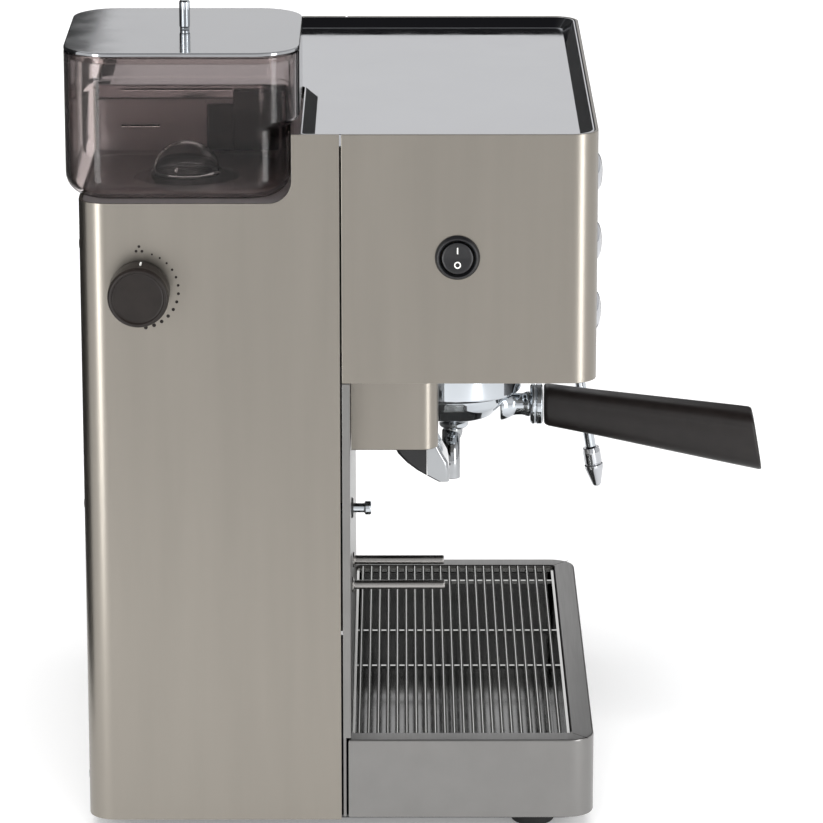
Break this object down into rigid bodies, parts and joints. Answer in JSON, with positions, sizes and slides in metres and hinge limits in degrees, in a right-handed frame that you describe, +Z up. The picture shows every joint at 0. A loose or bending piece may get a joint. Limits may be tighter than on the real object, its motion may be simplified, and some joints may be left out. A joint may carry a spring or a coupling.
{
  "type": "espresso machine",
  "caption": "Countertop espresso machine with a built-in burr grinder, see-through bean hopper, filter holder with handle, steam wand and pull-out drip tray.",
  "frame": {"origin": "middle of the overall box, on the surface it stands on", "axes": "+Z up, +Y towards the machine's back, +X to the right for a person facing its front"},
  "size_m": [0.3568, 0.3763, 0.439],
  "materials": {
    "brushed_steel": "brushed",
    "polished_steel": "polished",
    "chrome": "mirror",
    "cast_metal": "satin",
    "black_metal": "satin",
    "brass": "satin",
    "dark_plastic": "satin",
    "black_plastic": "satin",
    "smoky_clear": "gloss",
    "clear_plastic": "gloss",
    "dial_white": "satin",
    "needle_red": "satin",
    "rubber": "matte"
  },
  "bodies": {
    "chassis": {"rear_shell": "brushed_steel", "hopper_deck": "brushed_steel", "column_front_panel": "brushed_steel", "upper_housing": "brushed_steel", "housing_floor": "brushed_steel", "base_plate": "black_metal", "foot_1": "rubber", "foot_2": "rubber", "foot_3": "rubber", "foot_4": "rubber", "cord_inlet": "black_plastic", "grinder_body": "cast_metal", "grinder_motor": "black_metal", "chute_cover": "brushed_steel", "chute_scoop": "black_plastic", "chute_lip": "polished_steel", "fork_rod_1": "chrome", "fork_rod_2": "chrome", "switch_bezel": "black_plastic", "button_bezel_1": "chrome", "button_bezel_2": "chrome", "button_bezel_3": "chrome", "gauge_bezel": "chrome", "gauge_dial": "dial_white", "gauge_glass": "clear_plastic", "group_head": "chrome", "group_gasket": "rubber", "shower_screen": "polished_steel", "boiler": "brass", "pump": "black_plastic", "water_tank": "clear_plastic", "steam_valve": "brass"},
    "top_tray": {"cup_tray": "polished_steel"},
    "tank": {"hopper_tank": "smoky_clear", "hopper_guard": "clear_plastic"},
    "lid": {"hopper_lid": "polished_steel", "lid_pin": "chrome"},
    "spindle": {"lower_burr": "cast_metal"},
    "carrier": {"burr_carrier": "cast_metal"},
    "grind_dial": {"grind_knob": "dark_plastic"},
    "power_rocker": {"switch_rocker": "black_plastic"},
    "top_button": {"button_1": "polished_steel"},
    "middle_button": {"button_2": "polished_steel"},
    "bottom_button": {"button_3": "polished_steel"},
    "needle": {"gauge_needle": "needle_red"},
    "plunger": {"dosing_plunger": "chrome"},
    "filter_holder": {"portafilter_body": "chrome", "filter_basket": "polished_steel", "portafilter_spout": "chrome", "handle_ferrule": "chrome", "portafilter_handle": "dark_plastic"},
    "steam_tap": {"steam_knob": "dark_plastic"},
    "wand_swivel": {"wand_ball": "chrome"},
    "wand": {"wand_tube": "chrome", "wand_nozzle": "chrome"},
    "tray": {"drip_tray": "brushed_steel", "drip_pan": "polished_steel"},
    "grate": {"drip_grate": "polished_steel"}
  },
  "joints": [
    {"name": "top_tray_lift", "type": "slide", "parent": "chassis", "child": "top_tray", "axis": [0, 0, 1], "range_m": [0, 0.08]},
    {"name": "tank_lift", "type": "slide", "parent": "chassis", "child": "tank", "axis": [0, 0, 1], "range_m": [0, 0.12]},
    {"name": "lid_lift", "type": "slide", "parent": "tank", "child": "lid", "axis": [0, 0, 1], "range_m": [0, 0.06]},
    {"name": "spindle_spin", "type": "hinge", "parent": "chassis", "child": "spindle", "pos_m": [-0.098, 0.1265, 0.3], "axis": [0, 0, 1], "continuous": true},
    {"name": "grind_knob_turn", "type": "hinge", "parent": "chassis", "child": "grind_dial", "pos_m": [-0.17, 0.1486, 0.2995], "axis": [-1, 0, 0], "range_deg": [-75, 75]},
    {"name": "carrier_turn", "type": "hinge", "parent": "chassis", "child": "carrier", "pos_m": [-0.098, 0.1265, 0.322], "axis": [0, 0, 1], "range_deg": [-30, 30]},
    {"name": "power_tip", "type": "hinge", "parent": "chassis", "child": "power_rocker", "pos_m": [-0.1607, -0.0147, 0.3166], "axis": [0, 1, 0], "range_deg": [-12, 0]},
    {"name": "button_1_press", "type": "slide", "parent": "chassis", "child": "top_button", "axis": [0, 1, 0], "range_m": [0, 0.0025], "stiffness_N_per_m": 400, "springref_m": -0.002},
    {"name": "button_2_press", "type": "slide", "parent": "chassis", "child": "middle_button", "axis": [0, 1, 0], "range_m": [0, 0.0025], "stiffness_N_per_m": 400, "springref_m": -0.002},
    {"name": "button_3_press", "type": "slide", "parent": "chassis", "child": "bottom_button", "axis": [0, 1, 0], "range_m": [0, 0.0025], "stiffness_N_per_m": 400, "springref_m": -0.002},
    {"name": "needle_turn", "type": "hinge", "parent": "chassis", "child": "needle", "pos_m": [0.04, -0.089, 0.318], "axis": [0, 1, 0], "range_deg": [0, 270]},
    {"name": "plunger_press", "type": "slide", "parent": "chassis", "child": "plunger", "axis": [0, 1, 0], "range_m": [0, 0.006], "stiffness_N_per_m": 300, "springref_m": -0.002},
    {"name": "filter_holder_turn", "type": "hinge", "parent": "chassis", "child": "filter_holder", "pos_m": [0.048, -0.0154, 0.191], "axis": [0, 0, 1], "range_deg": [-45, 0]},
    {"name": "steam_knob_turn", "type": "hinge", "parent": "chassis", "child": "steam_tap", "pos_m": [0.17, -0.04, 0.315], "axis": [1, 0, 0], "range_deg": [0, 300]},
    {"name": "wand_swing", "type": "hinge", "parent": "chassis", "child": "wand_swivel", "pos_m": [0.13, -0.077, 0.245], "axis": [0, 0, 1], "range_deg": [-50, 90]},
    {"name": "wand_tilt", "type": "hinge", "parent": "wand_swivel", "child": "wand", "pos_m": [0.13, -0.077, 0.245], "axis": [1, 0, 0], "range_deg": [-25, 3]},
    {"name": "tray_slide", "type": "slide", "parent": "chassis", "child": "tray", "axis": [0, -1, 0], "range_m": [0, 0.14]},
    {"name": "grate_lift", "type": "slide", "parent": "tray", "child": "grate", "axis": [0, 0, 1], "range_m": [0, 0.05]}
  ],
  "couplings": [
    {"joint": "carrier_turn", "follows": "grind_knob_turn", "ratio": 0.25}
  ]
}
